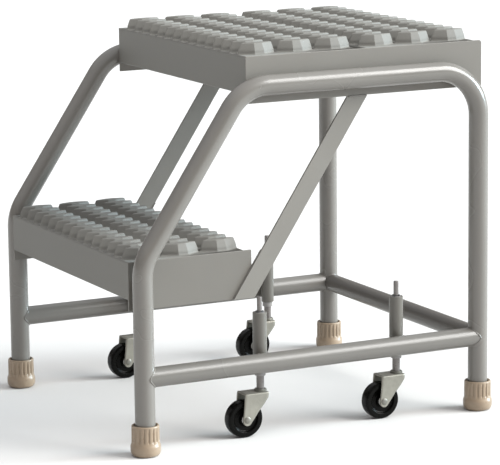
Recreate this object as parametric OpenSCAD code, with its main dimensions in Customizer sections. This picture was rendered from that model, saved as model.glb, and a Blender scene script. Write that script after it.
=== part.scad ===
// Two-step rolling kick stool: tube side frames, serrated tread planks,
// end plates, flat-bar braces and four spring-loaded swivel casters.
// Millimetres, +Z up, X = width, Y = depth. The climber faces +Y.
// Origin: middle of the footprint, on the floor.

/* [Side frames] */
// Outside diameter of the bent tubes
tube_od = 27.0; // [22:0.1:32]
// Wall of all the tubes
tube_wall = 2.1; // [1.2:0.1:3]
// Half the distance between the two side frames
leg_x = 217.7; // [180:0.1:320]
// Half the distance between front and rear legs
leg_y = 253.6; // [220:0.1:300]
// Height of the tube centre line along the platform
frame_z = 476.1; // [440:0.1:520]
// Height where the leg's line meets the sloping line
knee_z = 254.4; // [230:0.1:290]
// Depth where the sloping line meets the level line
shoulder_y = -104.5; // [-130:0.1:-80]
// Centre-line radius of every bend
bend_r = 63.5; // [50:0.5:80]
// Height of the three bottom rails
rail_z = 103.5; // [90:0.1:130]
// Outside diameter of the side rails
rail_od = 26.6; // [20:0.1:30]
// Outside diameter of the rear cross rail
cross_od = 26.2; // [20:0.1:30]

/* [Steps] */
// Height of the platform end plates' top edge
top_z = 513.6; // [480:0.1:560]
// Height of the lower end plates' top edge
low_z = 255.6; // [230:0.1:290]
// Front edge of the platform
top_front = -94.1; // [-120:0.1:-60]
// Rear edge of the platform
top_rear = 266.2; // [240:0.1:280]
// Front edge of the lower step
low_front = -266.4; // [-280:0.1:-240]
// Rear edge of the lower step
low_rear = -87; // [-110:0.1:-60]
// Height of the platform end plates
top_plate_h = 62.7; // [50:0.1:80]
// Height of the lower end plates
low_plate_h = 64.7; // [50:0.1:80]
// Thickness of the end plates
plate_t = 2.6; // [2:0.1:5]
// Depth of each tread plank
plank_d = 170.4; // [150:0.1:190]
// Height of the planks' side flanges
flange_h = 50.7; // [35:0.1:60]
// Sheet thickness of the planks
sheet_t = 2; // [1.5:0.1:3]
// Gap between the two platform planks
plank_gap = 10.3; // [0:0.1:20]
// Teeth along each plank
tooth_rows = 15; // [10:1:20]
// Pitch of the teeth along the plank
row_pitch = 25.4; // [24:0.1:30]
// Pitch of the teeth across the plank
col_pitch = 56.7; // [50:0.1:60]
// Height of the teeth
tooth_h = 15; // [8:0.5:20]

/* [Braces] */
// Thickness of the flat brace bars
bar_t = 3.2; // [2:0.1:6]
// Width of the brace bars
bar_w = 25.4; // [20:0.1:40]

/* [Feet] */
// Clearance of the rubber tips above the floor while it rolls
tip_lift = 1.0; // [0.5:0.1:4]
// Height of the rubber tips
tip_h = 40.5; // [30:0.5:50]
// Radius of a tip at its flare
tip_r = 20.1; // [18:0.1:24]

/* [Casters] */
// Distance of each caster stem from the middle plane
caster_x = 194.8; // [180:0.1:260]
// Depth of the front caster stems
caster_front_y = -73; // [-120:0.1:-40]
// Depth of the rear caster stems
caster_rear_y = 136.7; // [90:0.1:180]
// Wheel radius
wheel_r = 25.4; // [20:0.1:30]
// Wheel width
wheel_w = 17; // [14:0.5:22]
// Distance of the wheel axle behind the stem
trail = 25.8; // [18:0.1:35]
// Sleeve outside radius
sleeve_r = 9.5; // [8:0.1:12]
// Stem radius
stem_r = 5.25; // [4:0.05:7]
// Radius of the stem's upper pin
pin_r = 3.5; // [2.5:0.1:4.5]

/* [Hidden] */

tube_r = tube_od / 2;
lap = 0.6;                                                 // overlap of neighbouring runs
slope = atan2(shoulder_y + leg_y, frame_z - knee_z);      // from vertical
knee_t = bend_r * tan(slope / 2);
shoulder_t = bend_r * tan((90 - slope) / 2);
top_inner_x = leg_x - tube_r - 0.15 - plate_t;             // inner face, platform plates, clear of the bends
low_outer_x = top_inner_x + plate_t - bar_t;               // outer face, lower plates; the braces stand under the platform plates
low_inner_x = low_outer_x - plate_t;
tube_end_z = tip_lift + 13;
flange_bottom = top_z - flange_h;
race_z = 61.3;
fork_top = 61;
fork_end_z = wheel_r - 1.9;
sleeve_bottom = 89;
sleeve_top = 168.5;
bore_r = 7.3;
pin_top = 189.3;
shoulder_z = 101;
spring_z0 = 105.2;
spring_z1 = 163.3;

module ring(r, w) { difference() { circle(r); circle(r - w); } }

// straight hollow tube along the +Z of the current frame
module straight(len, r = tube_r) { linear_extrude(len) ring(r, tube_wall); }

// rod: starts at the origin along +Z, and runs a little into what follows
module rod(len, r) { translate([0, 0, -lap]) cylinder(h = len + 2 * lap, r = r, $fn = 96); }

// bend: starts at the origin along +Z and turns towards +Y
module bend(a, r) {
  translate([0, bend_r, 0]) rotate([90, 0, 90]) rotate([0, 0, 180 - a])
    rotate_extrude(angle = a, $fn = 96) translate([bend_r, 0]) circle(r + 0.12);
}

// the whole bent tube as a solid of radius r; x lengthens its open ends
module bent_rod(r, x) {
  incline = norm([shoulder_y + leg_y, frame_z - knee_z]) - knee_t - shoulder_t;
  translate([0, -leg_y, tube_end_z - x]) cylinder(h = knee_z - knee_t - tube_end_z + x + lap, r = r, $fn = 96);
  translate([0, -leg_y, knee_z - knee_t]) bend(slope, r);
  translate([0, -leg_y + knee_t * sin(slope), knee_z + knee_t * cos(slope)]) rotate([-slope, 0, 0]) {
    rod(incline, r);
    translate([0, 0, incline]) bend(90 - slope, r);
  }
  translate([0, shoulder_y + shoulder_t, frame_z]) rotate([-90, 0, 0]) rod(leg_y - bend_r - shoulder_y - shoulder_t, r);
  translate([0, leg_y - bend_r, frame_z]) rotate([-90, 0, 0]) bend(90, r);
  translate([0, leg_y, tube_end_z - x]) cylinder(h = frame_z - bend_r - tube_end_z + x + lap, r = r, $fn = 96);
}

module side_frame(s) {
  color([0.56, 0.555, 0.53]) translate([s * leg_x, 0, 0]) difference() {
    bent_rod(tube_r, 0);
    bent_rod(tube_r - tube_wall, 1);
  }
}

module leg_solid(s, f) { translate([s * leg_x, f * leg_y, 10]) cylinder(h = 220, r = tube_r); }

module side_rail(s) {
  color([0.56, 0.555, 0.53]) difference() {
    translate([s * leg_x, -leg_y, rail_z]) rotate([-90, 0, 0]) straight(2 * leg_y, rail_od / 2);
    leg_solid(s, 1);
    leg_solid(s, -1);
  }
}

module rear_cross_rail() {
  color([0.56, 0.555, 0.53]) difference() {
    translate([-leg_x, leg_y, rail_z]) rotate([0, 90, 0]) straight(2 * leg_x, cross_od / 2);
    for (s = [-1, 1]) {
      leg_solid(s, 1);
      translate([s * leg_x, 0, rail_z]) rotate([-90, 0, 0]) cylinder(h = leg_y, r = rail_od / 2);
    }
  }
}

module end_plate(s, x0, y0, y1, z1, h) {
  color([0.57, 0.565, 0.54])
    translate([s > 0 ? x0 : -x0 - plate_t, y0, z1 - h]) cube([plate_t, y1 - y0, h]);
}

// one tooth: an elongated hexagonal frustum, widest a little above the sheet
function hexpts(wx, my, ty, z) = [[0, -ty, z], [wx, -my, z], [wx, my, z], [0, ty, z], [-wx, my, z], [-wx, -my, z]];

module stack(levels) {
  n = len(levels);
  pts = [for (l = levels) for (p = hexpts(l[0], l[1], l[2], l[3])) p];
  up = [for (k = [0:n - 2]) for (i = [0:5]) [k * 6 + i, k * 6 + 6 + i, k * 6 + 6 + (i + 1) % 6]];
  down = [for (k = [0:n - 2]) for (i = [0:5]) [k * 6 + i, k * 6 + 6 + (i + 1) % 6, k * 6 + (i + 1) % 6]];
  polyhedron(points = pts, faces = concat([[0, 1, 2, 3, 4, 5]], up, down, [[for (i = [5:-1:0]) (n - 1) * 6 + i]]), convexity = 2);
}

module plank(half_l, y0, z1) {
  d = plank_d;
  x0 = -(tooth_rows - 1) / 2 * row_pitch;
  color([0.58, 0.575, 0.55]) translate([0, y0, z1]) difference() {
    union() {
      translate([-half_l, 0, -sheet_t]) cube([2 * half_l, d, sheet_t]);
      for (y = [0, d - sheet_t]) translate([-half_l, y, -flange_h]) cube([2 * half_l, sheet_t, flange_h]);
      translate([-half_l, 0, -flange_h]) cube([2 * half_l, 12, sheet_t]);
      translate([-half_l, d - 12, -flange_h]) cube([2 * half_l, 12, sheet_t]);
      for (i = [0:tooth_rows - 1]) for (j = [-1:1])
        translate([x0 + i * row_pitch, d / 2 + j * col_pitch, 0])
          stack([[11.4, 7.0, 27.6, -1], [11.4, 7.0, 27.6, 0], [11.0, 6.9, 28.1, 4.5], [5.8, 5.6, 23.8, tooth_h]]);
    }
    // pressed hollow under each tooth
    for (i = [0:tooth_rows - 1]) for (j = [-1:1])
      translate([x0 + i * row_pitch, d / 2 + j * col_pitch, 0])
        stack([[9.3, 6.0, 23.4, -sheet_t - 1], [9.3, 6.0, 23.4, 0], [3.9, 4.8, 18.2, tooth_h - 1.9]]);
    // diamond openings between the teeth
    for (i = [0:tooth_rows - 2]) for (j = [-0.5, 0.5])
      translate([x0 + (i + 0.5) * row_pitch, d / 2 + j * col_pitch, -sheet_t - 1])
        linear_extrude(sheet_t + 2) polygon([[-6.2, -3], [0, -16], [6.2, -3], [6.2, 3], [0, 16], [-6.2, 3]]);
  }
}

module top_plank(y0) { plank(top_inner_x, y0, top_z); }

module brace(s) {
  k = 0.665;                       // run in Y per rise in Z
  hw = bar_w / 2 / cos(atan(k));
  z0 = low_z - low_plate_h;
  z1 = top_z - top_plate_h - 0.05;
  y0 = -100.0;
  color([0.55, 0.545, 0.52])
    translate([s > 0 ? low_outer_x : -low_outer_x - bar_t, 0, 0]) rotate([90, 0, 90]) linear_extrude(bar_t)
      polygon([[y0 - hw, z0], [y0 + hw, z0], [y0 + k * (z1 - z0) + hw, z1], [y0 + k * (z1 - z0) - hw, z1]]);
}

module leg_spacers() {
  color([0.56, 0.555, 0.53]) for (s = [-1, 1]) difference() {
    translate([s > 0 ? low_outer_x : -low_outer_x - 7, -leg_y - 8, 197]) cube([7, 16, 35]);
    translate([s * leg_x, -leg_y, 10]) cylinder(h = 240, r = tube_r);
  }
}

module tip(s, f) {
  z0 = tip_lift;
  color([0.72, 0.67, 0.6]) translate([s * leg_x, f * leg_y, 0]) difference() {
    rotate_extrude($fn = 96) polygon([[0, z0], [17.4, z0], [18.6, z0 + 0.8], [19.7, z0 + 4], [tip_r, z0 + 9],
      [tip_r, z0 + 12], [19.3, z0 + 15], [18.6, z0 + 17.5], [18.5, z0 + 21], [18.4, z0 + tip_h - 1.5], [17.6, z0 + tip_h], [0, z0 + tip_h]]);
    translate([0, 0, tube_end_z - 1.6]) cylinder(h = 60, r = tube_r);
    for (i = [0:17]) rotate([0, 0, i * 20 + 10]) translate([17, -1.1, z0 + 20]) cube([3, 2.2, tip_h]);
  }
}

module tip_washers() {
  color([0.7, 0.7, 0.7]) for (s = [-1, 1]) for (f = [-1, 1]) translate([s * leg_x, f * leg_y, tube_end_z - 1.6])
    cylinder(h = 1.6, r = tube_r - 0.2);
}

module at_casters() {
  for (s = [-1, 1]) for (y = [caster_front_y, caster_rear_y]) translate([s * caster_x, y, 0]) children();
}

module upper_bushings() {
  color([0.6, 0.6, 0.58]) at_casters() translate([0, 0, 163.5]) difference() {
    cylinder(h = 5, r = bore_r);
    translate([0, 0, -1]) cylinder(h = 7, r = pin_r + 0.06);
  }
}

module lower_bushings() {
  color([0.6, 0.6, 0.58]) at_casters() translate([0, 0, 82]) difference() {
    cylinder(h = 18, r = bore_r);
    translate([0, 0, -1]) cylinder(h = 20, r = stem_r + 0.06);
  }
}

module sleeve() {
  color([0.55, 0.55, 0.53]) translate([0, 0, sleeve_bottom]) difference() {
    cylinder(h = sleeve_top - sleeve_bottom, r = sleeve_r);
    translate([0, 0, -1]) cylinder(h = sleeve_top - sleeve_bottom + 2, r = bore_r);
  }
}

module coil() {
  turns = 7;
  color([0.62, 0.62, 0.64]) translate([0, 0, spring_z0]) linear_extrude(spring_z1 - spring_z0, twist = -360 * turns, slices = 9 * turns, convexity = 10)
    polygon(concat([for (a = [-36:24:36]) [6.2 * cos(a), 6.2 * sin(a)]], [for (a = [36:-24:-36]) [4.6 * cos(a), 4.6 * sin(a)]]));
}

module stem() {
  color([0.68, 0.66, 0.66]) rotate_extrude($fn = 64) polygon([[0, 55.7], [7, 55.7], [7.4, 56.4], [7.4, 58.2], [4, 58.2], [4, 64],
    [stem_r, 64], [stem_r, shoulder_z], [6.9, shoulder_z], [6.9, shoulder_z + 4], [pin_r, shoulder_z + 4], [pin_r, 169],
    [pin_r - 0.6, 169], [pin_r - 0.6, 170.2], [pin_r, 170.2], [pin_r, pin_top - 0.6], [pin_r - 0.6, pin_top], [0, pin_top]]);
}

module clip() {
  color([0.3, 0.3, 0.31]) translate([0, 0, 169.05]) difference() {
    cylinder(h = 1.1, r = 5.6);
    translate([0, 0, -1]) cylinder(h = 3, r = pin_r - 0.6);
    translate([0, -1.6, -1]) cube([9, 3.2, 3]);
  }
}

module race() {
  color([0.6, 0.6, 0.6]) difference() {
    rotate_extrude($fn = 64) polygon([[4.0, race_z], [8.6, race_z], [8.6, race_z + 1.2], [7.4, race_z + 2.6], [4.0, race_z + 2.6]]);
    translate([0, 0, 60]) cylinder(h = 6, r = 4.0);
  }
}

module fork() {
  e = fork_end_z - 0.4;                // height of the leg's round end
  color([0.6, 0.6, 0.57]) {
    difference() {
      translate([-13, -28.5, fork_top - 2.4]) cube([26, 35, 2.4]);
      translate([0, 0, 50]) cylinder(h = 20, r = 4.06);
    }
    for (x = [-13, 11]) translate([x, 0, 0]) difference() {
      union() {
        rotate([90, 0, 90]) linear_extrude(2) polygon([[-28.5, fork_top - 2.4], [-31.6, 24.5], [-26.3, 19], [-20.6, 20], [-8.2, 36.8], [0, 46], [5.4, 53.5], [6.5, fork_top - 2.4]]);
        translate([0, -trail, fork_end_z]) rotate([0, 90, 0]) cylinder(h = 2, r = 6.2);
      }
      translate([-1, -trail, wheel_r]) rotate([0, 90, 0]) cylinder(h = 4, r = 3.05);
    }
  }
}

module axle() {
  color([0.66, 0.66, 0.66]) translate([0, -trail, wheel_r]) rotate([0, 90, 0]) rotate_extrude($fn = 48)
    polygon([[0, -14.6], [3.6, -14.6], [4.8, -13.8], [4.8, -13], [3, -13], [3, 13], [4.8, 13], [4.8, 13.8], [3.6, 14.6], [0, 14.6]]);
}

module axle_tube() {
  color([0.75, 0.72, 0.7]) translate([-11, -trail, wheel_r]) rotate([0, 90, 0]) difference() {
    cylinder(h = 22, r = 5);
    translate([0, 0, -1]) cylinder(h = 24, r = 3.05);
  }
}

module wheel() {
  w = wheel_w / 2;
  color([0.05, 0.05, 0.05]) translate([0, -trail, wheel_r]) rotate([0, 90, 0]) rotate_extrude($fn = 96)
    polygon([[5.06, -9.8], [8.6, -9.8], [9.2, -5], [16.6, -5.6], [18, -w + 0.4], [19.2, -w], [wheel_r - 2, -w], [wheel_r - 0.6, -w + 1.2], [wheel_r, -w + 3],
      [wheel_r, w - 3], [wheel_r - 0.6, w - 1.2], [wheel_r - 2, w], [19.2, w], [18, w - 0.4], [16.6, 5.6], [9.2, 5], [8.6, 9.8], [5.06, 9.8]]);
}

module fl() { translate([-caster_x, caster_front_y, 0]) children(); }
module fr() { translate([caster_x, caster_front_y, 0]) children(); }
module rl() { translate([-caster_x, caster_rear_y, 0]) children(); }
module rr() { translate([caster_x, caster_rear_y, 0]) children(); }

side_frame(-1);  // side_frame_left
side_frame(1);  // side_frame_right
side_rail(-1);  // side_rail_left
side_rail(1);  // side_rail_right
rear_cross_rail();
end_plate(-1, top_inner_x, top_front, top_rear, top_z, top_plate_h);  // top_end_plate_left
end_plate(1, top_inner_x, top_front, top_rear, top_z, top_plate_h);  // top_end_plate_right
end_plate(-1, low_inner_x, low_front, low_rear, low_z, low_plate_h);  // lower_end_plate_left
end_plate(1, low_inner_x, low_front, low_rear, low_z, low_plate_h);  // lower_end_plate_right
top_plank(top_front);  // top_plank_front
top_plank(top_front + plank_d + plank_gap);  // top_plank_rear
plank(low_inner_x, low_front, low_z);  // lower_plank
brace(-1);  // brace_left
brace(1);  // brace_right
leg_spacers();
tip(-1, -1);  // tip_front_left
tip(1, -1);  // tip_front_right
tip(-1, 1);  // tip_rear_left
tip(1, 1);  // tip_rear_right
tip_washers();
upper_bushings();
lower_bushings();
fl() sleeve();  // sleeve_front_left
fr() sleeve();  // sleeve_front_right
rl() sleeve();  // sleeve_rear_left
rr() sleeve();  // sleeve_rear_right
fl() coil();  // spring_front_left
fr() coil();  // spring_front_right
rl() coil();  // spring_rear_left
rr() coil();  // spring_rear_right
fl() stem();  // stem_front_left
fr() stem();  // stem_front_right
rl() stem();  // stem_rear_left
rr() stem();  // stem_rear_right
fl() clip();  // clip_front_left
fr() clip();  // clip_front_right
rl() clip();  // clip_rear_left
rr() clip();  // clip_rear_right
fl() race();  // race_front_left
fr() race();  // race_front_right
rl() race();  // race_rear_left
rr() race();  // race_rear_right
fl() fork();  // fork_front_left
fr() fork();  // fork_front_right
rl() fork();  // fork_rear_left
rr() fork();  // fork_rear_right
fl() axle();  // axle_front_left
fr() axle();  // axle_front_right
rl() axle();  // axle_rear_left
rr() axle();  // axle_rear_right
fl() axle_tube();  // axle_tube_front_left
fr() axle_tube();  // axle_tube_front_right
rl() axle_tube();  // axle_tube_rear_left
rr() axle_tube();  // axle_tube_rear_right
fl() wheel();  // wheel_front_left
fr() wheel();  // wheel_front_right
rl() wheel();  // wheel_rear_left
rr() wheel();  // wheel_rear_right
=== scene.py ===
import math

import bpy
import bmesh
from mathutils import Matrix, Vector
from mathutils.geometry import delaunay_2d_cdt


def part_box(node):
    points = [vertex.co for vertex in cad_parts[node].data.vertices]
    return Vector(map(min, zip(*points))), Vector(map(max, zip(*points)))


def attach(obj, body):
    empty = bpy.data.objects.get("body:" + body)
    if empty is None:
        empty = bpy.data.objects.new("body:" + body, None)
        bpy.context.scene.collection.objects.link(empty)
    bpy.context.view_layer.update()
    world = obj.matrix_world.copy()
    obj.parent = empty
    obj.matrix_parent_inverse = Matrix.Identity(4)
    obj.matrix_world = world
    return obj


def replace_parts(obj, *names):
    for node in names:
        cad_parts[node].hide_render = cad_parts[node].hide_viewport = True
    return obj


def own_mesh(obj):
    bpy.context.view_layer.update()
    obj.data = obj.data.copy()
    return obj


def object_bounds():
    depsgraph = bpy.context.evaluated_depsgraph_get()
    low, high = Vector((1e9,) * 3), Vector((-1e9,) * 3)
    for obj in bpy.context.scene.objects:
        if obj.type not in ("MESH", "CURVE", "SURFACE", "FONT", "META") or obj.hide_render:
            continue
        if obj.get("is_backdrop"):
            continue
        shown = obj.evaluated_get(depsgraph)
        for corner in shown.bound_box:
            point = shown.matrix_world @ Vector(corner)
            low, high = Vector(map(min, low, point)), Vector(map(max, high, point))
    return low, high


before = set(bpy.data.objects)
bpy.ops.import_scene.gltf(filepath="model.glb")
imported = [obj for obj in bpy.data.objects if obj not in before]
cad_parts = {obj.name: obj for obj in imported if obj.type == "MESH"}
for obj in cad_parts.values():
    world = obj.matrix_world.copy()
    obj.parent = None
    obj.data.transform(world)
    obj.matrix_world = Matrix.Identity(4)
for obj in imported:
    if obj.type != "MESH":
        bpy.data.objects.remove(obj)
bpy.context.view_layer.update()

# ------------------------------------------------------------------ sizes, in millimetres, as in the CAD
MM = 0.001
TUBE_R = 13.5
LEG_X, LEG_Y = 217.7, 253.6
FRAME_Z, KNEE_Z, SHOULDER_Y, BEND_R = 476.1, 254.4, -104.5, 63.5
RAIL_Z, RAIL_R, CROSS_R = 103.5, 13.3, 13.1
TUBE_END = 14.0
SLOPE = math.atan2(SHOULDER_Y + LEG_Y, FRAME_Z - KNEE_Z)
TRAIL, WHEEL_R, FORK_END = 25.8, 25.4, 23.5
CASTERS = {
    "front_left": (-1, -73.0),
    "front_right": (1, -73.0),
    "rear_left": (-1, 136.7),
    "rear_right": (1, 136.7),
}


def bx(node):
    """Lowest and highest corner of a CAD node in millimetres."""
    lo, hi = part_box(node)
    return [v / MM for v in lo], [v / MM for v in hi]


CASTER_X = sum(b[0] for b in bx("stem_front_right")) / 2


# ------------------------------------------------------------------ materials
def nodes_of(name):
    m = bpy.data.materials.new(name)
    m.use_nodes = True
    nt = m.node_tree
    b = nt.nodes["Principled BSDF"]
    return m, nt, b


def add(nt, kind, **props):
    n = nt.nodes.new(kind)
    for k, v in props.items():
        setattr(n, k, v)
    return n


def noise(nt, co, scale, detail=3.0, rough=0.55, stretch=None):
    n = add(nt, "ShaderNodeTexNoise")
    n.inputs["Scale"].default_value = scale
    n.inputs["Detail"].default_value = detail
    n.inputs["Roughness"].default_value = rough
    if stretch:
        mp = add(nt, "ShaderNodeMapping")
        mp.inputs["Scale"].default_value = stretch
        nt.links.new(co, mp.inputs["Vector"])
        co = mp.outputs["Vector"]
    nt.links.new(co, n.inputs["Vector"])
    return n.outputs["Fac"]


def ramp(nt, fac, stops, kind="B_SPLINE"):
    r = add(nt, "ShaderNodeValToRGB")
    r.color_ramp.interpolation = kind
    e = r.color_ramp.elements
    e[0].position, e[0].color = stops[0][0], (*stops[0][1], 1)
    e[1].position, e[1].color = stops[-1][0], (*stops[-1][1], 1)
    for p, c in stops[1:-1]:
        k = e.new(p)
        k.color = (*c, 1)
    nt.links.new(fac, r.inputs["Fac"])
    return r.outputs["Color"]


def span(nt, fac, a, b, lo=0.3, hi=0.7):
    m = add(nt, "ShaderNodeMapRange", interpolation_type="SMOOTHSTEP")
    m.inputs["From Min"].default_value = lo
    m.inputs["From Max"].default_value = hi
    m.inputs["To Min"].default_value = a
    m.inputs["To Max"].default_value = b
    nt.links.new(fac, m.inputs["Value"])
    return m.outputs["Result"]


def mix(nt, fac, a, b, mode="MIX"):
    m = add(nt, "ShaderNodeMix", data_type="RGBA", blend_type=mode)
    for key, v in (("Factor", fac), ("A", a), ("B", b)):
        sockets = [s for s in m.inputs if s.name == key and (s.type == "RGBA" or key == "Factor")]
        s = sockets[0] if key == "Factor" else sockets[-1]
        if isinstance(v, (int, float)):
            s.default_value = v
        elif isinstance(v, tuple):
            s.default_value = (*v, 1)
        else:
            nt.links.new(v, s)
    return [s for s in m.outputs if s.type == "RGBA"][0]


def calc(nt, op, a, b=None):
    m = add(nt, "ShaderNodeMath", operation=op)
    for i, v in enumerate((a, b)):
        if v is None:
            continue
        if isinstance(v, (int, float)):
            m.inputs[i].default_value = v
        else:
            nt.links.new(v, m.inputs[i])
    return m.outputs[0]


def bump(nt, bsdf, heights):
    """heights: (socket, strength, distance in metres), stacked."""
    last = None
    for h, s, d in heights:
        n = add(nt, "ShaderNodeBump")
        n.inputs["Strength"].default_value = s
        n.inputs["Distance"].default_value = d
        nt.links.new(h, n.inputs["Height"])
        if last:
            nt.links.new(last, n.inputs["Normal"])
        last = n.outputs["Normal"]
    nt.links.new(last, bsdf.inputs["Normal"])


def edge_mask(nt, radius):
    """1 along convex and concave edges, 0 on the flats."""
    bev = add(nt, "ShaderNodeBevel", samples=4)
    bev.inputs["Radius"].default_value = radius
    geo = add(nt, "ShaderNodeNewGeometry")
    dot = add(nt, "ShaderNodeVectorMath", operation="DOT_PRODUCT")
    nt.links.new(bev.outputs["Normal"], dot.inputs[0])
    nt.links.new(geo.outputs["Normal"], dot.inputs[1])
    return span(nt, dot.outputs["Value"], 1.0, 0.0, 0.86, 0.99)


def paint(name, col, rough=0.4, seed=0.0, wear=0.5, edge_r=0.0013, spec=0.5):
    m, nt, b = nodes_of(name)
    tc = add(nt, "ShaderNodeTexCoord")
    mp = add(nt, "ShaderNodeMapping")
    mp.inputs["Location"].default_value = (seed, seed * 0.7, seed * 1.3)
    nt.links.new(tc.outputs["Object"], mp.inputs["Vector"])
    co = mp.outputs["Vector"]
    broad = noise(nt, co, 5.0, 3.0)
    fine = noise(nt, co, 70.0, 4.0)
    peel = noise(nt, co, 620.0, 2.0, 0.4)
    dark = tuple(c * 0.93 for c in col)
    lite = tuple(min(1, c * 1.05) for c in col)
    warm = (col[0] * 1.02, col[1] * 0.985, col[2] * 0.94)
    c1 = ramp(nt, broad, [(0.3, dark), (0.5, col), (0.72, lite)])
    c2 = mix(nt, span(nt, fine, 0.0, 0.2, 0.35, 0.75), c1, warm)
    # scuffs: thin, sparse, slightly darker
    scuff = noise(nt, co, 38.0, 6.0, 0.7, stretch=(1.0, 0.22, 1.0))
    c3 = mix(nt, span(nt, scuff, 0.0, 0.045, 0.6, 0.74), c2, tuple(c * 0.6 for c in col))
    e = edge_mask(nt, edge_r)
    worn = calc(nt, "MULTIPLY", e, span(nt, noise(nt, co, 130.0, 3.0), 0.15, 1.0, 0.35, 0.65))
    c4 = mix(nt, calc(nt, "MULTIPLY", worn, wear), c3, tuple(min(1, c * 1.35 + 0.05) for c in col))
    nt.links.new(c4, b.inputs["Base Color"])
    r = span(nt, broad, rough - 0.03, rough + 0.05, 0.3, 0.7)
    nt.links.new(r, b.inputs["Roughness"])
    b.inputs["Specular IOR Level"].default_value = spec
    bump(nt, b, [(fine, 0.05, 0.0003), (peel, 0.13, 0.00014)])
    return m


def rubber(name, col, rough=0.6, spots=0.3, seed=0.0, spec=0.5):
    m, nt, b = nodes_of(name)
    b.inputs["Specular IOR Level"].default_value = spec
    tc = add(nt, "ShaderNodeTexCoord")
    co = tc.outputs["Object"]
    a = noise(nt, co, 26.0 + seed, 4.0)
    g = noise(nt, co, 420.0, 3.0)
    dirt = noise(nt, co, 90.0, 5.0, 0.65)
    c1 = ramp(nt, a, [(0.3, tuple(c * 0.86 for c in col)), (0.55, col), (0.75, tuple(min(1, c * 1.1) for c in col))])
    c2 = mix(nt, span(nt, dirt, 0.0, spots, 0.52, 0.7), c1, tuple(c * 0.62 for c in col))
    e = edge_mask(nt, 0.001)
    c3 = mix(nt, calc(nt, "MULTIPLY", e, 0.22), c2, tuple(min(1, c * 1.3 + 0.006) for c in col))
    nt.links.new(c3, b.inputs["Base Color"])
    nt.links.new(span(nt, dirt, rough - 0.08, rough + 0.12), b.inputs["Roughness"])
    bump(nt, b, [(dirt, 0.2, 0.0003), (g, 0.3, 0.00012)])
    return m


def steel(name, col, metal=0.85, rough=0.35, rings=0.0, spangle=0.0, seed=0.0):
    m, nt, b = nodes_of(name)
    tc = add(nt, "ShaderNodeTexCoord")
    mp = add(nt, "ShaderNodeMapping")
    mp.inputs["Location"].default_value = (seed, seed, seed)
    nt.links.new(tc.outputs["Object"], mp.inputs["Vector"])
    co = mp.outputs["Vector"]
    a = noise(nt, co, 40.0, 4.0)
    f = noise(nt, co, 300.0, 3.0)
    c1 = ramp(nt, a, [(0.3, tuple(c * 0.8 for c in col)), (0.55, col), (0.78, tuple(min(1, c * 1.12) for c in col))])
    heights = [(f, 0.15, 0.00012)]
    if spangle:
        v = add(nt, "ShaderNodeTexVoronoi")
        v.inputs["Scale"].default_value = 260.0
        nt.links.new(co, v.inputs["Vector"])
        s = add(nt, "ShaderNodeSeparateColor")
        nt.links.new(v.outputs["Color"], s.inputs[0])
        c1 = mix(nt, calc(nt, "MULTIPLY", s.outputs[0], spangle), c1, tuple(min(1, c * 1.22) for c in col))
    if rings:
        k = noise(nt, co, 30.0, 2.0, 0.5, stretch=(1.0, 1.0, 60.0))
        heights.append((k, rings, 0.0002))
    e = edge_mask(nt, 0.0006)
    c2 = mix(nt, calc(nt, "MULTIPLY", e, 0.35), c1, tuple(min(1, c * 1.3 + 0.05) for c in col))
    nt.links.new(c2, b.inputs["Base Color"])
    b.inputs["Metallic"].default_value = metal
    nt.links.new(span(nt, f, rough - 0.08, rough + 0.12), b.inputs["Roughness"])
    bump(nt, b, heights)
    return m


GREY = (0.180, 0.169, 0.151)
M_FRAME = paint("frame_paint", (0.168, 0.158, 0.143), 0.24, 0.0, 0.3, spec=0.7)
# darker copy of the frame paint for the rear cross rail: painted shade
M_CROSS_SHADED = paint("cross_paint_painted_shade", (0.115, 0.107, 0.096), 0.34, 4.4, 0.3)
# darker copy of the frame paint for the side rails: painted shade
M_RAIL_SHADED = paint("rail_paint_painted_shade", (0.155, 0.147, 0.134), 0.28, 6.1, 0.3, spec=0.6)
# darker copy of the frame paint for the caster sleeves: painted shade
M_SLEEVE_SHADED = paint("sleeve_paint_painted_shade", (0.135, 0.128, 0.113), 0.3, 9.3, 0.3)
M_STEP = paint("step_paint", GREY, 0.46, 3.1, 0.5)
# darker copy of the step paint for the lower step: painted shade that offsets its extra floor light
M_STEP_LOW_SHADED = paint("lower_step_paint_painted_shade", (0.157, 0.148, 0.132), 0.46, 3.9, 0.5)
M_TREAD = paint("tread_paint", (0.178, 0.173, 0.158), 0.6, 7.7, 0.25, 0.0012, 0.4)
M_BAR = paint("brace_paint", (0.188, 0.178, 0.160), 0.44, 5.2, 0.4)
M_TIP = rubber("tip_rubber", (0.305, 0.232, 0.163), 0.34, 0.2)
M_WHEEL = rubber("wheel_rubber", (0.0028, 0.0028, 0.0023), 0.24, 0.5, 3.0, 0.11)
M_HUB = steel("hub_nylon", (0.5, 0.49, 0.47), 0.0, 0.4)
M_FORK = steel("fork_zinc", (0.27, 0.26, 0.222), 0.3, 0.38, 0.0, 0.25)
M_STEM = steel("stem_steel", (0.21, 0.195, 0.186), 0.4, 0.34, 0.5)
M_AXLE = steel("axle_steel", (0.20, 0.195, 0.17), 0.35, 0.42)
M_CLIP = steel("clip_steel", (0.12, 0.12, 0.125), 0.7, 0.4)
M_SPRING = steel("spring_steel", (0.45, 0.45, 0.46), 0.9, 0.28)
M_BUSH = rubber("bushing_plastic", (0.30, 0.29, 0.28), 0.5, 0.15, 5.0)
M_WASH = steel("washer_steel", (0.5, 0.5, 0.49), 0.8, 0.35)


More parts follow.
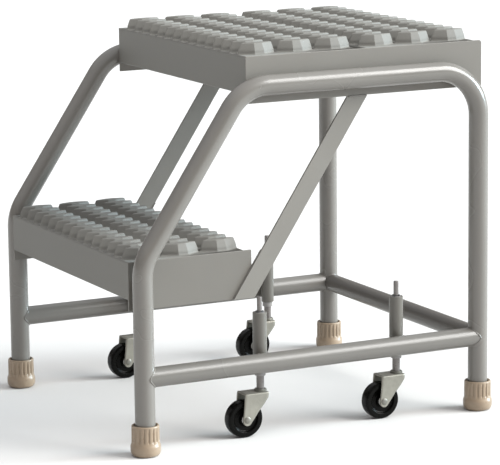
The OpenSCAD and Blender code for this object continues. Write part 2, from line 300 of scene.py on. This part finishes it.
# ------------------------------------------------------------------ mesh helpers
def make(name, verts, faces, mat, body="frame", slot=None, sharp=32.0, smooth=True, bevel=None, solid=None, mats=None, face_mat=None):
    me = bpy.data.meshes.new(name)
    me.from_pydata([tuple(c * MM for c in v) for v in verts], [], faces)
    me.validate()
    for m in mats or [mat]:
        me.materials.append(m)
    if face_mat:
        for p, k in zip(me.polygons, face_mat):
            p.material_index = k
    ob = bpy.data.objects.new(name, me)
    bpy.context.scene.collection.objects.link(ob)
    if smooth:
        me.polygons.foreach_set("use_smooth", [True] * len(me.polygons))
        me.set_sharp_from_angle(angle=math.radians(sharp))
    if solid:
        s = ob.modifiers.new("thickness", "SOLIDIFY")
        s.thickness = solid * MM
        s.offset = -1.0
        s.use_even_offset = False
    if bevel:
        b = ob.modifiers.new("edges", "BEVEL")
        b.width = bevel * MM
        b.segments = 2
        b.limit_method = "ANGLE"
        b.angle_limit = math.radians(35)
        b.harden_normals = False
    if smooth:
        w = ob.modifiers.new("normals", "WEIGHTED_NORMAL")
        w.keep_sharp = True
        w.weight = 80
    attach(ob, body)
    return ob


class Mesh:
    """A little mesh builder."""

    def __init__(self):
        self.v, self.f, self.k = [], [], []

    def add(self, verts, faces, k=0, move=(0, 0, 0)):
        n = len(self.v)
        self.v += [(a + move[0], b + move[1], c + move[2]) for a, b, c in verts]
        self.f += [tuple(i + n for i in f) for f in faces]
        self.k += [k] * len(faces)


def sweep(path, radius, seg=40, closed=False, ripple=None):
    """A round bar along a path of points; every ring stands square to the path."""
    n = len(path)
    pts = [Vector(p) for p in path]
    tang = []
    for i in range(n):
        a = pts[(i - 1) % n] if closed or i > 0 else pts[i]
        b = pts[(i + 1) % n] if closed or i < n - 1 else pts[i]
        tang.append((b - a).normalized())
    ref = Vector((1, 0, 0)) if abs(tang[0].x) < 0.9 else Vector((0, 1, 0))
    u = (ref - tang[0] * ref.dot(tang[0])).normalized()
    verts, faces = [], []
    for i in range(n):
        u = (u - tang[i] * u.dot(tang[i])).normalized()
        w = tang[i].cross(u)
        r = radius * (ripple(i) if ripple else 1.0)
        for k in range(seg):
            a = 2 * math.pi * k / seg
            verts.append(tuple(pts[i] + (u * math.cos(a) + w * math.sin(a)) * r))
    rows = n if closed else n - 1
    for i in range(rows):
        j = (i + 1) % n
        for k in range(seg):
            m = (k + 1) % seg
            faces.append((i * seg + k, i * seg + m, j * seg + m, j * seg + k))
    if not closed:
        faces.append(tuple(range(seg - 1, -1, -1)))
        faces.append(tuple((n - 1) * seg + k for k in range(seg)))
    return verts, faces


def dense(path, step=12.0):
    """The same path with points added, so that no stretch is longer than step."""
    out = [tuple(path[0])]
    for a, b in zip(path, path[1:]):
        n = max(1, math.ceil((Vector(b) - Vector(a)).length / step))
        out += [tuple(Vector(a).lerp(Vector(b), i / n)) for i in range(1, n + 1)]
    return out


def lathe(profile, seg=64, axis="z", rmod=None, closed=True):
    """profile: (radius, height) points. A closed profile is a ring, an open one runs from axis to axis."""
    verts, faces, idx = [], [], []
    for r, h in profile:
        if r < 1e-6:
            idx.append([len(verts)] * seg)
            verts.append((0.0, 0.0, h))
            continue
        row = []
        for k in range(seg):
            a = 2 * math.pi * k / seg
            rr = r + (rmod(a, r, h) if rmod else 0.0)
            row.append(len(verts))
            verts.append((rr * math.cos(a), rr * math.sin(a), h))
        idx.append(row)
    n = len(profile)
    for i in range(n if closed else n - 1):
        a, b = idx[i], idx[(i + 1) % n]
        for k in range(seg):
            m = (k + 1) % seg
            f = []
            for q in (a[k], a[m], b[m], b[k]):
                if q not in f:
                    f.append(q)
            if len(f) > 2:
                faces.append(tuple(f))
    if axis == "x":
        verts = [(z, x, y) for x, y, z in verts]
    return verts, faces


def rounded(poly, radius, seg=3):
    """Outline with its corners rounded; radius may be a list, one for each corner."""
    out = []
    n = len(poly)
    for i in range(n):
        p, a, b = Vector(poly[i]), Vector(poly[i - 1]), Vector(poly[(i + 1) % n])
        r = radius[i] if isinstance(radius, (list, tuple)) else radius
        da, db = (a - p), (b - p)
        la, lb = da.length, db.length
        da.normalize()
        db.normalize()
        ang = da.angle(db)
        if r <= 0 or ang > math.pi - 0.05:
            out.append(tuple(p))
            continue
        t = min(r / math.tan(ang / 2), la * 0.45, lb * 0.45)
        q1, q2 = p + da * t, p + db * t
        for k in range(seg + 1):
            s = k / seg
            out.append(tuple((q1 * (1 - s) ** 2 + p * 2 * s * (1 - s) + q2 * s**2)))
    return out


def prism(outline, x0, x1):
    """Outline in Y and Z, between two X."""
    n = len(outline)
    verts = [(x0, y, z) for y, z in outline] + [(x1, y, z) for y, z in outline]
    area = sum(outline[i][0] * outline[(i + 1) % n][1] - outline[(i + 1) % n][0] * outline[i][1] for i in range(n))
    faces = [tuple(range(n - 1, -1, -1)), tuple(range(n, 2 * n))]
    faces += [(i, (i + 1) % n, n + (i + 1) % n, n + i) for i in range(n)]
    if area < 0:
        faces = [tuple(reversed(f)) for f in faces]
    return verts, faces


def arc(c, r, a0, a1, n):
    return [(c[0] + r * math.cos(a0 + (a1 - a0) * i / n), c[1] + r * math.sin(a0 + (a1 - a0) * i / n)) for i in range(n + 1)]


def wob(i, k=0.0):
    """A steady little variation, with nothing random in it."""
    return 1.0 + 0.10 * math.sin(i * 1.9 + k) + 0.05 * math.sin(i * 0.73 + 2 * k)


# ------------------------------------------------------------------ side frames
def frame_path():
    """Centre line in (y, z), front foot to rear foot."""
    kt = BEND_R * math.tan(SLOPE / 2)
    st = BEND_R * math.tan((math.pi / 2 - SLOPE) / 2)
    out = [(-LEG_Y, TUBE_END), (-LEG_Y, 60.0), (-LEG_Y, 150.0)]
    # knee: bends towards +Y, centre on the inner side
    out += arc((-LEG_Y + BEND_R, KNEE_Z - kt), BEND_R, math.pi, math.pi - SLOPE, 12)
    st_y, st_z = SHOULDER_Y + st, FRAME_Z - BEND_R
    out += arc((st_y, st_z), BEND_R, math.pi - SLOPE, math.pi / 2, 16)
    out += arc((LEG_Y - BEND_R, FRAME_Z - BEND_R), BEND_R, math.pi / 2, 0, 24)
    out += [(LEG_Y, 250.0), (LEG_Y, 60.0), (LEG_Y, TUBE_END)]
    return out


for side, s in (("left", -1), ("right", 1)):
    v, f = sweep(dense([(s * LEG_X, y, z) for y, z in frame_path()]), TUBE_R, 72)
    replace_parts(make("tube_frame_" + side, v, f, M_FRAME, slot="frame_paint", sharp=50), "side_frame_" + side)
    v, f = sweep(dense([(s * LEG_X, y, RAIL_Z) for y in (-LEG_Y + 2, LEG_Y - 2)]), RAIL_R, 72)
    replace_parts(make("tube_rail_" + side, v, f, M_RAIL_SHADED, slot="frame_paint", sharp=50), "side_rail_" + side)
v, f = sweep(dense([(x, LEG_Y, RAIL_Z) for x in (-LEG_X + 2, LEG_X - 2)]), CROSS_R, 72)
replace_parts(make("tube_cross_rail", v, f, M_CROSS_SHADED, slot="frame_paint", sharp=50), "rear_cross_rail")

# weld beads where the rails meet the legs
beads = Mesh()
for s in (-1, 1):
    for fb in (-1, 1):
        pts = []
        for k in range(72):
            a = 2 * math.pi * k / 72
            x, z = RAIL_R * math.cos(a), RAIL_R * math.sin(a)
            y = math.sqrt(max(TUBE_R**2 - x * x, 0.0)) + 0.2
            pts.append((s * LEG_X + x * 1.0, fb * (LEG_Y - y), RAIL_Z + z * 1.0))
        beads.add(*sweep(pts, 1.05, 8, True, lambda i: wob(i, s + fb)))
    pts = []
    for k in range(72):
        a = 2 * math.pi * k / 72
        y, z = CROSS_R * math.cos(a), CROSS_R * math.sin(a)
        x = math.sqrt(max(TUBE_R**2 - y * y, 0.0)) + 0.2
        pts.append((s * (LEG_X - x), LEG_Y + y * 1.0, RAIL_Z + z * 1.0))
    beads.add(*sweep(pts, 1.05, 8, True, lambda i: wob(i, 3 + s)))


# ------------------------------------------------------------------ plates, bars, blocks
def plate(node, corner, name):
    lo, hi = bx(node)
    x0, x1 = lo[0], hi[0]
    o = rounded([(lo[1], lo[2]), (hi[1], lo[2]), (hi[1], hi[2]), (lo[1], hi[2])], corner, 4)
    v, f = prism(o, x0, x1)
    # the lower plates take the darker copy of the step paint: painted shade
    mat = M_STEP if node.startswith("top") else M_STEP_LOW_SHADED
    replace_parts(make(name, v, f, mat, slot="step_paint", bevel=0.45, sharp=30), node)
    return lo, hi


for side in ("left", "right"):
    tlo, thi = plate("top_end_plate_" + side, [1.2, 1.2, 4.0, 1.0], "platform_end_" + side)
    llo, lhi = plate("lower_end_plate_" + side, [1.2, 1.2, 1.0, 1.0], "lower_end_" + side)

for side, s in (("left", -1), ("right", 1)):
    lo, hi = bx("brace_" + side)
    k = 0.665
    hw = 12.7 / math.cos(math.atan(k))
    y0 = lo[1] + hw
    z0, z1 = lo[2], hi[2]
    o = rounded([(y0 - hw, z0), (y0 + hw, z0), (y0 + k * (z1 - z0) + hw, z1), (y0 + k * (z1 - z0) - hw, z1)], 0.8, 3)
    v, f = prism(o, lo[0], hi[0])
    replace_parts(make("brace_bar_" + side, v, f, M_BAR, slot="frame_paint", bevel=0.5, sharp=30), "brace_" + side)
    # fillet welds of the brace on the lower end plate and under the platform
    plo, phi = bx("lower_end_plate_" + side)
    xo = hi[0] if s > 0 else lo[0]
    xi = phi[0] if s > 0 else plo[0]
    yt = y0 + k * (phi[2] - z0)
    for e in (-1, 1):
        pts = [(xi + s * 0.2, y0 + e * hw + k * t, z0 + t) for t in [i * (phi[2] - z0 - 3) / 40 + 1.5 for i in range(41)]]
        beads.add(*sweep(pts, 1.1, 8, False, lambda i: wob(i, e)))
    pts = [(xo - s * 1.6 + s * 1.9, y0 + k * (z1 - z0) - hw + 2 + i * (2 * hw - 4) / 24, z1 - 0.2) for i in range(25)]
    beads.add(*sweep(pts, 1.2, 8, False, lambda i: wob(i, 2.0)))

lo, hi = bx("leg_spacers")
blocks = Mesh()
for s in (-1, 1):
    xin, xb = s * 200.85, s * (LEG_X - 8)
    o = rounded([(-LEG_Y - 8, 197), (-LEG_Y + 8, 197), (-LEG_Y + 8, 232), (-LEG_Y - 8, 232)], 1.5, 3)
    v, f = prism(o, min(xin, xb), max(xin, xb))
    # the block's outer end dies into the round leg
    v = [(x if abs(x) < LEG_X - 12 else s * (LEG_X - math.sqrt(TUBE_R**2 - min(abs(y + LEG_Y), 8.0) ** 2)), y, z) for x, y, z in v]
    blocks.add(v, f)
    for zz in (197, 232):
        pts = [(s * (LEG_X - math.sqrt(TUBE_R**2 - y * y) - 0.4), -LEG_Y + y, zz + (0.6 if zz > 200 else -0.6)) for y in [-8 + i * 0.8 for i in range(21)]]
        beads.add(*sweep(pts, 1.2, 8, False, lambda i: wob(i, zz)))
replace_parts(make("spacer_blocks", blocks.v, blocks.f, M_FRAME, slot="frame_paint", bevel=0.6, sharp=30), "leg_spacers")

# the platform end plates rest against the level tubes: short stitch welds from below and above
for s in (-1, 1):
    lo, hi = bx("top_end_plate_" + ("right" if s > 0 else "left"))
    face = hi[0] if s > 0 else lo[0]
    for zc, zs in ((FRAME_Z - 5.2, -1), (FRAME_Z + 5.2, 1)):
        for ya in (-60, 40, 150):
            pts = [(face + s * 0.5, ya + i * 1.25, zc) for i in range(25)]
            beads.add(*sweep(pts, 1.15, 8, False, lambda i: wob(i, ya + zs)))

# all the weld beads gathered above, as one mesh
make("weld_beads", beads.v, beads.f, M_FRAME, slot="frame_paint", sharp=80)


# ------------------------------------------------------------------ tread planks
def hexa(wx, my, ty):
    return [(0, -ty), (wx, -my), (wx, my), (0, ty), (-wx, my), (-wx, -my)]


def hex_ring(wx, my, ty, inset, r=1.1):
    k = inset
    return rounded(hexa(wx - k, my - k * 0.25, ty - k * 1.7), r, 2)


def lerp(a, b, t):
    return a + (b - a) * t


BASE, WIDE, TOP = (11.2, 6.95, 27.4), (11.0, 6.9, 27.2), (5.8, 5.6, 23.8)


def foot_ring(k):
    """Outline of the pressed foot, k millimetres outside the tooth's widest line."""
    return rounded(hexa(WIDE[0] + k, WIDE[1] + 0.25 * k, WIDE[2] + 1.25 * k), 1.1 + 0.5 * k, 2)


def tooth_levels():
    out = [(foot_ring(2.7), -0.06), (foot_ring(1.9), 0.14), (foot_ring(1.2), 0.52), (foot_ring(0.65), 1.15), (foot_ring(0.25), 2.2), (foot_ring(0.05), 3.5)]
    w = lambda t, i=0.0: hex_ring(*[lerp(a, b, t) for a, b in zip(WIDE, TOP)], i)
    out.append((w(0.02, 0.0), 4.6))
    out.append((w(0.16), 6.2))
    out.append((w(0.84), 13.3))
    out.append((w(0.945, 0.12), 14.35))
    out.append((w(1.0, 0.62), 14.85))
    out.append((w(1.0, 1.25), 15.0))
    return out


LEVELS = tooth_levels()


def plank(name, node):
    lo, hi = bx(node)
    x0, x1, y0, y1 = lo[0], hi[0], lo[1], hi[1]
    z1 = hi[2] - 15.0
    d = y1 - y0
    zb = lo[2]
    R = 2.6
    cols = [y0 + d / 2 + j * 56.7 for j in (-1, 0, 1)]
    rows = [(i - 7) * 25.4 for i in range(15)]
    pts, edges = [], []

    def loop(poly):
        n = len(pts)
        for p in poly:
            pts.append(Vector(p))
        for i in range(len(poly)):
            edges.append((n + i, n + (i + 1) % len(poly)))

    loop([(x0, y0 + R), (x1, y0 + R), (x1, y1 - R), (x0, y1 - R)])
    base = hex_ring(*BASE, 0.0)
    for x in rows:
        for y in cols:
            loop([(x + a, y + b) for a, b in base])
    holes = []
    dia = rounded([(-6.2, -3), (0, -16), (6.2, -3), (6.2, 3), (0, 16), (-6.2, 3)], 0.9, 2)
    for i in range(14):
        for j in (0, 1):
            cx, cy = (rows[i] + rows[i + 1]) / 2, (cols[j] + cols[j + 1]) / 2
            loop([(cx + a, cy + b) for a, b in dia])
            holes.append((cx, cy))
    vs, es, fs, ov, oe, of = delaunay_2d_cdt(pts, edges, [], 0, 1e-5)
    m = Mesh()

    bw, bm_, bt = BASE

    def in_hex(px, py):
        # inside the base outline of a tooth
        for x in rows:
            ax = abs(px - x)
            if ax < bw:
                for y in cols:
                    ay = abs(py - y)
                    if ay <= bm_ or (ay < bt and ax / bw + (ay - bm_) / (bt - bm_) <= 1.0):
                        return True
        return False

    def in_hole(px, py):
        for x, y in holes:
            ax, ay = abs(px - x), abs(py - y)
            if ax <= 6.2 and (ay <= 3 or ax / 6.2 + (ay - 3) / 13.0 <= 1.0):
                return True
        return False

    flat = []
    for f in fs:
        cx = sum(vs[i][0] for i in f) / 3
        cy = sum(vs[i][1] for i in f) / 3
        if cx < x0 or cx > x1 or cy < y0 + R or cy > y1 - R or in_hex(cx, cy) or in_hole(cx, cy):
            continue
        a, b, c = (vs[i] for i in f)
        up = (b[0] - a[0]) * (c[1] - a[1]) - (b[1] - a[1]) * (c[0] - a[0])
        if abs(up) < 1e-7:
            continue
        flat.append(tuple(f) if up > 0 else tuple(reversed(f)))
    m.add([(v[0], v[1], z1) for v in vs], flat)
    # teeth
    tv, tf = [], []
    n = len(LEVELS[0][0])
    for ring, z in LEVELS:
        tv += [(a, b, z) for a, b in ring]
    for k in range(len(LEVELS) - 1):
        for i in range(n):
            j = (i + 1) % n
            tf.append((k * n + i, k * n + j, (k + 1) * n + j, (k + 1) * n + i))
    tf.append(tuple((len(LEVELS) - 1) * n + i for i in range(n)))
    edge = d / 2 - R
    for x in rows:
        for y in cols:
            off = y - (y0 + d / 2)
            foot = []
            for a, b, z in tv:
                # the outermost feet run on down over the bend of the sheet
                g = off + b
                over = min(max(abs(g) - edge, 0.0), R - 0.05)
                if over > 0:
                    b = math.copysign(edge + over, g) - off
                    z -= (R - math.sqrt(R * R - over * over)) * max(0.0, 1.0 - max(z, 0.0) / 4.0)
                foot.append((a, b, z))
            m.add(foot, tf, 0, (x, y, z1))

    # the folded flanges and their return lips
    def skirt(ye, sg):
        prof = [(ye + sg * (R - R * math.sin(a)), z1 - R + R * math.cos(a)) for a in [math.pi / 2 * i / 5 for i in range(6)]]
        prof += [(ye, zb + R)]
        prof += [(ye + sg * (R - R * math.cos(a)), zb + R - R * math.sin(a)) for a in [math.pi / 2 * i / 4 for i in range(1, 5)]]
        prof += [(ye + sg * 12.0, zb)]
        v = []
        for y, z in prof:
            v += [(x0, y, z), (x1, y, z)]
        f = []
        for i in range(len(prof) - 1):
            q = (2 * i, 2 * i + 2, 2 * i + 3, 2 * i + 1)
            f.append(q if sg > 0 else tuple(reversed(q)))
        m.add(v, f)

    skirt(y0, 1)
    skirt(y1, -1)
    me_v, me_f = m.v, m.f
    ob = make(name, me_v, me_f, M_TREAD, slot="step_paint", sharp=34)
    bm = bmesh.new()
    bm.from_mesh(ob.data)
    bmesh.ops.remove_doubles(bm, verts=bm.verts, dist=2e-6)
    loose = [v for v in bm.verts if not v.link_faces]
    bmesh.ops.delete(bm, geom=loose, context="VERTS")
    bm.to_mesh(ob.data)
    bm.free()
    ob.data.polygons.foreach_set("use_smooth", [True] * len(ob.data.polygons))
    ob.data.set_sharp_from_angle(angle=math.radians(34))
    ob.modifiers.clear()
    s = ob.modifiers.new("thickness", "SOLIDIFY")
    s.thickness = 1.9 * MM
    s.offset = -1.0
    w = ob.modifiers.new("normals", "WEIGHTED_NORMAL")
    w.keep_sharp = True
    w.weight = 80
    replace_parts(ob, node)
    return ob


plank("tread_platform_front", "top_plank_front")
plank("tread_platform_rear", "top_plank_rear")
plank("tread_lower_step", "lower_plank")


# ------------------------------------------------------------------ rubber tips
def tip_mesh():
    z0, h = 1.0, 40.5
    prof = [(0, 0.0), (6, 0.0), (6.4, 0.7), (7.6, 0.7), (8.0, 0.0), (11, 0.0), (11.4, 0.7), (12.6, 0.7), (13.0, 0.0), (16.6, 0.0), (17.4, 0.25), (18.4, 1.3), (19.2, 2.8),
            (19.7, 4.4), (20.0, 6.4), (20.1, 9.0), (20.1, 11.6), (19.95, 13.0), (19.5, 14.4), (18.95, 15.8), (18.6, 17.3), (18.5, 19.0), (18.5, 20.0), (18.5, 21.2), (18.5, 22.6),
            (18.45, 30.0), (18.4, 37.2), (18.35, 38.6), (18.2, 39.5), (17.7, 40.2), (16.9, 40.5), (16.0, 40.4), (15.3, 39.8), (14.9, 38.6), (14.6, 36.0), (13.3, 33.0)]

    def rmod(a, r, z):
        if z < 18.5 or z > 39.0 or r < 17.5:
            return 0.0
        t = min(1.0, (z - 19.0) / 2.4) if z < 22 else 1.0
        t = max(0.0, t)
        if z > 38.0:
            t *= 0.45
        c = (a / (2 * math.pi) * 18) % 1.0
        g = abs(c - 0.5) * 2  # 0 in the middle of a groove
        depth = 1.5 * max(0.0, 1.0 - (g / 0.42) ** 2) if g < 0.42 else 0.0
        return -depth * t

    v, f = lathe([(r, z + z0) for r, z in prof], 216, rmod=rmod, closed=False)
    return v, f


TV, TF = tip_mesh()
for name, (sx, sy) in (("front_left", (-1, -1)), ("front_right", (1, -1)), ("rear_left", (-1, 1)), ("rear_right", (1, 1))):
    v = [(x + sx * LEG_X, y + sy * LEG_Y, z) for x, y, z in TV]
    f = TF
    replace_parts(make("crutch_tip_" + name, v, f, M_TIP, slot="tip_rubber", sharp=60), "tip_" + name)


# ------------------------------------------------------------------ casters
def fork_mesh():
    """U-shaped pressing as one sheet: rows run from one leg's foot over the top to the other's."""
    top, half, rb = 61.0, 13.0, 2.4
    cy, cz, cr = -TRAIL, FORK_END, 6.2
    fline = [(20.0, -20.62), (36.8, -8.2), (46.0, 0.0), (53.5, 5.4), (58.0, 6.5), (61.0, 6.5)]

    def ya(z):
        if z < cz + 1.0:
            return cy - math.sqrt(max(cr**2 - (z - cz) ** 2, 0))
        t = (z - cz - 1.0) / (top - cz - 1.0)
        return lerp(cy - math.sqrt(cr**2 - 1.0), -28.5, t)

    def yb(z):
        if z < 20.0:
            return cy + math.sqrt(max(cr**2 - (z - cz) ** 2, 0))
        for (za, a), (zc, b) in zip(fline, fline[1:]):
            if z <= zc:
                t = (z - za) / (zc - za)
                return lerp(a, b, t)
        return 6.5

    zs = [cz - cr * math.cos(a) for a in [0.16, 0.35, 0.6, 0.9, 1.25]] + [22.5, 24.5, 28, 32, 36.8, 41, 46, 50, 53.5, 56, top - rb]
    rows = [(-half, z, ya(z), yb(z)) for z in zs]
    for i in range(1, 6):
        a = math.pi / 2 * i / 5
        x, z = -half + rb - rb * math.cos(a), top - rb + rb * math.sin(a)
        rows.append((x, z, -28.5, 6.5))
    for x in (-7.0, 0.0):
        rows.append((x, top, -28.5, 6.5))
    rows += [(-x, z, a, b) for x, z, a, b in reversed(rows[:-1])]
    N = 10
    v, f = [], []
    for x, z, a, b in rows:
        # points spaced evenly across the sheet, from a to b
        for k in range(N + 1):
            v.append((x, lerp(a, b, k / N), z))
    for i in range(len(rows) - 1):
        for k in range(N):
            p = i * (N + 1) + k
            f.append((p, p + N + 1, p + N + 2, p + 1))
    return v, f


def wheel_mesh():
    w, R = 8.5, WHEEL_R
    prof = [(5.06, -9.6), (6.6, -9.6), (8.0, -9.4), (8.6, -8.8), (9.0, -6.0), (9.6, -4.9), (11.0, -4.6), (15.4, -4.9), (16.6, -5.4), (17.2, -6.4), (17.7, -7.9), (18.3, -8.35),
            (19.2, -w), (R - 2.9, -w), (R - 1.9, -8.3), (R - 1.0, -7.7), (R - 0.4, -6.8), (R - 0.12, -5.4), (R - 0.04, -3.2), (R, -1.2), (R, 1.2)]
    prof = prof[:-1] + [(R, 1.2)] + [(r, -x) for r, x in reversed(prof[:-2])]
    v, f = lathe(prof, 96, "x")
    v = [(x, y - TRAIL, z + WHEEL_R) for x, y, z in v]
    return v, f


def hub_mesh():
    # pale nylon hub bush, standing a little proud of the wheel's boss
    m = Mesh()
    for sg in (-1, 1):
        prof = [(5.07, sg * 8.9), (7.0, sg * 8.9), (7.0, sg * 9.9), (6.6, sg * 10.3), (5.07, sg * 10.3)]
        if sg > 0:
            prof = prof[::-1]
        v, f = lathe(prof, 48, "x")
        m.add([(x, y - TRAIL, z + WHEEL_R) for x, y, z in v], f)
    return m.v, m.f


def axle_mesh():
    prof = [(0, -14.6), (2.2, -14.5), (3.6, -14.15), (4.5, -13.5), (4.8, -13.05), (4.8, -12.95), (3.0, -12.9), (3.0, 12.9), (4.8, 12.95), (4.8, 13.05), (4.5, 13.5), (3.6, 14.15), (2.2, 14.5), (0, 14.6)]
    v, f = lathe(prof, 40, "x", closed=False)
    return [(x, y - TRAIL, z + WHEEL_R) for x, y, z in v], f


def sleeve_mesh(z0, z1):
    prof = [(7.3, z0 + 0.5), (7.8, z0), (9.0, z0), (9.5, z0 + 0.5), (9.5, (z0 + z1) / 2), (9.5, z1 - 0.5), (9.0, z1), (7.8, z1), (7.3, z1 - 0.5), (7.3, (z0 + z1) / 2)]
    return lathe(prof, 56)


FV, FF = fork_mesh()
WV, WF = wheel_mesh()
HV, HF = hub_mesh()
AV, AF = axle_mesh()


def flip(faces):
    return [tuple(reversed(q)) for q in faces]


caster_beads = Mesh()
for name, (s, y) in CASTERS.items():
    at = (s * CASTER_X, y, 0)
    mv = lambda vv: [(a + at[0], b + at[1], c) for a, b, c in vv]
    lo, hi = bx("sleeve_" + name)
    v, f = sleeve_mesh(lo[2], hi[2])
    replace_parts(make("sleeve_tube_" + name, mv(v), f, M_SLEEVE_SHADED, slot="frame_paint", sharp=50), "sleeve_" + name)
    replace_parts(make("fork_shell_" + name, mv(FV), FF, M_FORK, "fork_" + name, "fork_zinc", 36, solid=2.0, bevel=None), "fork_" + name)
    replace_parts(make("wheel_tyre_" + name, mv(WV), WF, M_WHEEL, "wheel_" + name, "wheel_rubber", 40), "wheel_" + name)
    make("wheel_bush_" + name, mv(HV), HF, M_HUB, "wheel_" + name, "bushing_plastic", 40)
    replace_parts(make("axle_rivet_" + name, mv(AV), AF, M_AXLE, "fork_" + name, "stem_steel", 40), "axle_" + name)
    # coil spring with closed ends
    slo, shi = bx("spring_" + name)
    turns, wr, za, zb = 8, 0.78, slo[2] + 0.8, shi[2] - 0.8
    pts = []
    for i in range(turns * 24 + 1):
        t = i / (turns * 24)
        e = t * t * (3 - 2 * t) * 0.35 + t * 0.65
        pts.append((at[0] + 5.35 * math.cos(2 * math.pi * turns * t), y + 5.35 * math.sin(2 * math.pi * turns * t), lerp(za, zb, e)))
    ob = make("spring_coil_" + name, *sweep(pts, wr, 10), M_SPRING, slot="spring_steel", sharp=70)
    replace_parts(ob, "spring_" + name)
    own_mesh(ob)
    # bracket weld between sleeve and rail, on both sides of the sleeve
    for e in (-1, 1):
        pts = []
        for i in range(21):
            t = -10.5 + i * 1.05
            xr = s * (LEG_X - math.sqrt(RAIL_R**2 - t * t))
            yy = y + e * min(9.4, 3.4 + abs(t) * 0.34)
            xs = at[0] + s * math.sqrt(max(9.5**2 - (yy - y) ** 2, 0))
            pts.append(((xr + xs) / 2, yy, RAIL_Z + t))
        caster_beads.add(*sweep(pts, 1.5, 8, False, lambda i: wob(i, e + y)))
make("caster_weld_beads", caster_beads.v, caster_beads.f, M_FRAME, slot="frame_paint", sharp=80)

# ------------------------------------------------------------------ CAD nodes that stay
KEEP = {"tip_washers": M_WASH, "upper_bushings": M_BUSH, "lower_bushings": M_BUSH}
for name in CASTERS:
    KEEP["stem_" + name] = M_STEM
    KEEP["clip_" + name] = M_CLIP
    KEEP["race_" + name] = M_AXLE
    KEEP["axle_tube_" + name] = M_HUB
for node, m in KEEP.items():
    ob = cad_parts[node]
    ob.data.materials.clear()
    ob.data.materials.append(m)

# ------------------------------------------------------------------ floor, light, camera
fm, nt, b = nodes_of("studio_floor")
tc = add(nt, "ShaderNodeTexCoord")
n = noise(nt, tc.outputs["Object"], 3.0, 3.0)
nt.links.new(ramp(nt, n, [(0.3, (0.67, 0.665, 0.655)), (0.7, (0.69, 0.685, 0.675))]), b.inputs["Base Color"])
b.inputs["Roughness"].default_value = 0.85
b.inputs["Specular IOR Level"].default_value = 0.1
me = bpy.data.meshes.new("floor")
S = 400.0
me.from_pydata([(-S, -S, 0), (S, -S, 0), (S, S, 0), (-S, S, 0)], [], [(0, 1, 2, 3)])
me.materials.append(fm)
floor = bpy.data.objects.new("floor", me)
bpy.context.scene.collection.objects.link(floor)
floor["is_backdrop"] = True

world = bpy.data.worlds.new("studio")
bpy.context.scene.world = world
world.use_nodes = True
wt = world.node_tree
bg = wt.nodes["Background"]
tc = add(wt, "ShaderNodeTexCoord")
sep = add(wt, "ShaderNodeSeparateXYZ")
wt.links.new(tc.outputs["Generated"], sep.inputs[0])
wt.links.new(ramp(wt, sep.outputs["Z"], [(0.0, (0.95, 0.95, 0.95)), (0.05, (0.95, 0.95, 0.95)), (0.1, (0.11, 0.09, 0.075)), (0.25, (0.19, 0.17, 0.16)), (0.65, (0.82, 0.83, 0.85)), (1.0, (1.2, 1.22, 1.25))], "LINEAR"), bg.inputs["Color"])
bg.inputs["Strength"].default_value = 1.0


def sun(name, toward, energy, angle, col):
    L = bpy.data.lights.new(name, "SUN")
    L.energy, L.color = energy, col
    L.angle = math.radians(angle)
    ob = bpy.data.objects.new(name, L)
    bpy.context.scene.collection.objects.link(ob)
    ob.rotation_euler = Vector(toward).to_track_quat("Z", "Y").to_euler()
    return ob


sun("key", (0.48, 0.66, 0.58), 4.2, 40, (1.0, 0.99, 0.97))
sun("rim", (0.3, 1.0, 0.22), 3.8, 20, (0.74, 0.91, 1.0))

cam = bpy.data.cameras.new("camera")
cam.sensor_fit = "HORIZONTAL"
cam.sensor_width = 36.0
cam.lens = 2713.8078 / 500 * 36.0
cam.clip_start, cam.clip_end = 0.05, 900
co = bpy.data.objects.new("camera", cam)
bpy.context.scene.collection.objects.link(co)
az, el, ro = math.radians(63.4634), math.radians(10.5571), math.radians(-0.6712)
fw = Vector((-math.sin(az) * math.cos(el), math.cos(az) * math.cos(el), -math.sin(el)))
rt = Vector((math.cos(az), math.sin(az), 0))
up = rt.cross(fw)
r2 = rt * math.cos(ro) + up * math.sin(ro)
u2 = up * math.cos(ro) - rt * math.sin(ro)
co.matrix_world = Matrix(((r2.x, u2.x, -fw.x, 3.3622959), (r2.y, u2.y, -fw.y, -1.6675634), (r2.z, u2.z, -fw.z, 0.9375268), (0, 0, 0, 1)))
bpy.context.scene.camera = co

sc = bpy.context.scene
sc.view_settings.view_transform = "Standard"
sc.view_settings.look = "None"
sc.view_settings.exposure = 0.0
sc.view_settings.gamma = 1.0

lo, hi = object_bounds()
